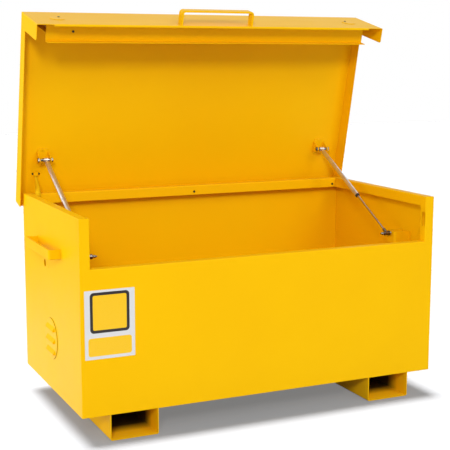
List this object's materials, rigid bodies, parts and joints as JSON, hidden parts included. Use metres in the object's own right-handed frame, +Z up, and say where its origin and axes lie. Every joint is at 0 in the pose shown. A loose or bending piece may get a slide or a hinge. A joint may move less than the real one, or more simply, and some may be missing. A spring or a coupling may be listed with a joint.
{
  "type": "storage box",
  "caption": "Lockable sheet-steel storage box on fork skids, its hinged lid held open by gas struts, with side handles, round vents and a front cut-out.",
  "frame": {"origin": "bottom centre of the bounding box with the lid open, on the floor", "axes": "+X to the right seen from the front, +Y to the rear, +Z up"},
  "size_m": [1.327, 0.7045, 1.3123],
  "materials": {
    "yellow_paint": "semi-gloss powder coat",
    "sign_face": "printed, smooth",
    "zinc_steel": "zinc plated",
    "dark_steel": "dark nickel",
    "strut_silver": "silver lacquer",
    "rod_chrome": "polished",
    "black_rubber": "matte",
    "strap_webbing": "woven"
  },
  "bodies": {
    "box_body": {"front_panel": "yellow_paint", "left_side_panel": "yellow_paint", "right_side_panel": "yellow_paint", "rear_panel": "yellow_paint", "floor_pan": "yellow_paint", "left_skid": "yellow_paint", "right_skid": "yellow_paint", "left_side_handle": "yellow_paint", "right_side_handle": "yellow_paint", "left_vent_cover": "yellow_paint", "right_vent_cover": "yellow_paint", "sign_plate": "sign_face", "left_lower_bracket": "yellow_paint", "right_lower_bracket": "yellow_paint", "left_ball_stud": "zinc_steel", "right_ball_stud": "zinc_steel", "left_hinge_body_leaf": "yellow_paint", "middle_hinge_body_leaf": "yellow_paint", "right_hinge_body_leaf": "yellow_paint", "left_hinge_pin": "zinc_steel", "middle_hinge_pin": "zinc_steel", "right_hinge_pin": "zinc_steel"},
    "lid": {"lid_shell": "yellow_paint", "lock_channel": "yellow_paint", "channel_cover": "yellow_paint", "lid_handle": "yellow_paint", "left_hinge_lid_leaf": "yellow_paint", "middle_hinge_lid_leaf": "yellow_paint", "right_hinge_lid_leaf": "yellow_paint", "left_upper_bracket": "yellow_paint", "right_upper_bracket": "yellow_paint", "left_strut_pin": "dark_steel", "right_strut_pin": "dark_steel", "left_lock_case": "zinc_steel", "right_lock_case": "zinc_steel", "left_cover_rivet": "dark_steel", "right_cover_rivet": "dark_steel", "strap_saddle": "yellow_paint", "lid_strap": "strap_webbing"},
    "left_strut_tube": {"left_strut_tube": "strut_silver", "left_strut_seal": "black_rubber"},
    "left_strut_rod": {"left_strut_rod": "rod_chrome", "left_rod_socket": "dark_steel"},
    "left_lock_bolt": {"left_lock_bolt": "zinc_steel"},
    "left_key_cover": {"left_key_cover": "yellow_paint"},
    "right_strut_tube": {"right_strut_tube": "strut_silver", "right_strut_seal": "black_rubber"},
    "right_strut_rod": {"right_strut_rod": "rod_chrome", "right_rod_socket": "dark_steel"},
    "right_lock_bolt": {"right_lock_bolt": "zinc_steel"},
    "right_key_cover": {"right_key_cover": "yellow_paint"}
  },
  "joints": [
    {"name": "lid_hinge", "type": "hinge", "parent": "box_body", "child": "lid", "pos_m": [0, 0.30141, 0.645], "axis": [1, 0, 0], "range_deg": [0, 76.6], "deforming": ["lid_strap"]},
    {"name": "left_strut_pivot", "type": "hinge", "parent": "lid", "child": "left_strut_tube", "pos_m": [-0.545, 0.27926, 0.80184], "axis": [1, 0, 0], "range_deg": [-86.27, 0]},
    {"name": "left_rod_slide", "type": "slide", "parent": "left_strut_tube", "child": "left_strut_rod", "axis": [0, 0.8763, 0.4818], "range_m": [0, 0.18234]},
    {"name": "left_bolt_slide", "type": "slide", "parent": "lid", "child": "left_lock_bolt", "axis": [-1, 0, 0], "range_m": [0, 0.02]},
    {"name": "left_cover_swing", "type": "hinge", "parent": "lid", "child": "left_key_cover", "pos_m": [-0.538, 0.11114, 1.27968], "axis": [0, -0.2317, 0.9728], "range_deg": [-180, 180]},
    {"name": "right_strut_pivot", "type": "hinge", "parent": "lid", "child": "right_strut_tube", "pos_m": [0.545, 0.27926, 0.80184], "axis": [1, 0, 0], "range_deg": [-86.27, 0]},
    {"name": "right_rod_slide", "type": "slide", "parent": "right_strut_tube", "child": "right_strut_rod", "axis": [0, 0.8763, 0.4818], "range_m": [0, 0.18234]},
    {"name": "right_bolt_slide", "type": "slide", "parent": "lid", "child": "right_lock_bolt", "axis": [1, 0, 0], "range_m": [0, 0.02]},
    {"name": "right_cover_swing", "type": "hinge", "parent": "lid", "child": "right_key_cover", "pos_m": [0.538, 0.11114, 1.27968], "axis": [0, -0.2317, 0.9728], "range_deg": [-180, 180]}
  ],
  "couplings": [
    {"joint": "left_strut_pivot", "follows": "lid_hinge", "ratio": -1.1256},
    {"joint": "left_rod_slide", "follows": "lid_hinge", "m_per_rad": 0.13631},
    {"joint": "right_strut_pivot", "follows": "lid_hinge", "ratio": -1.1256},
    {"joint": "right_rod_slide", "follows": "lid_hinge", "m_per_rad": 0.13631}
  ]
}
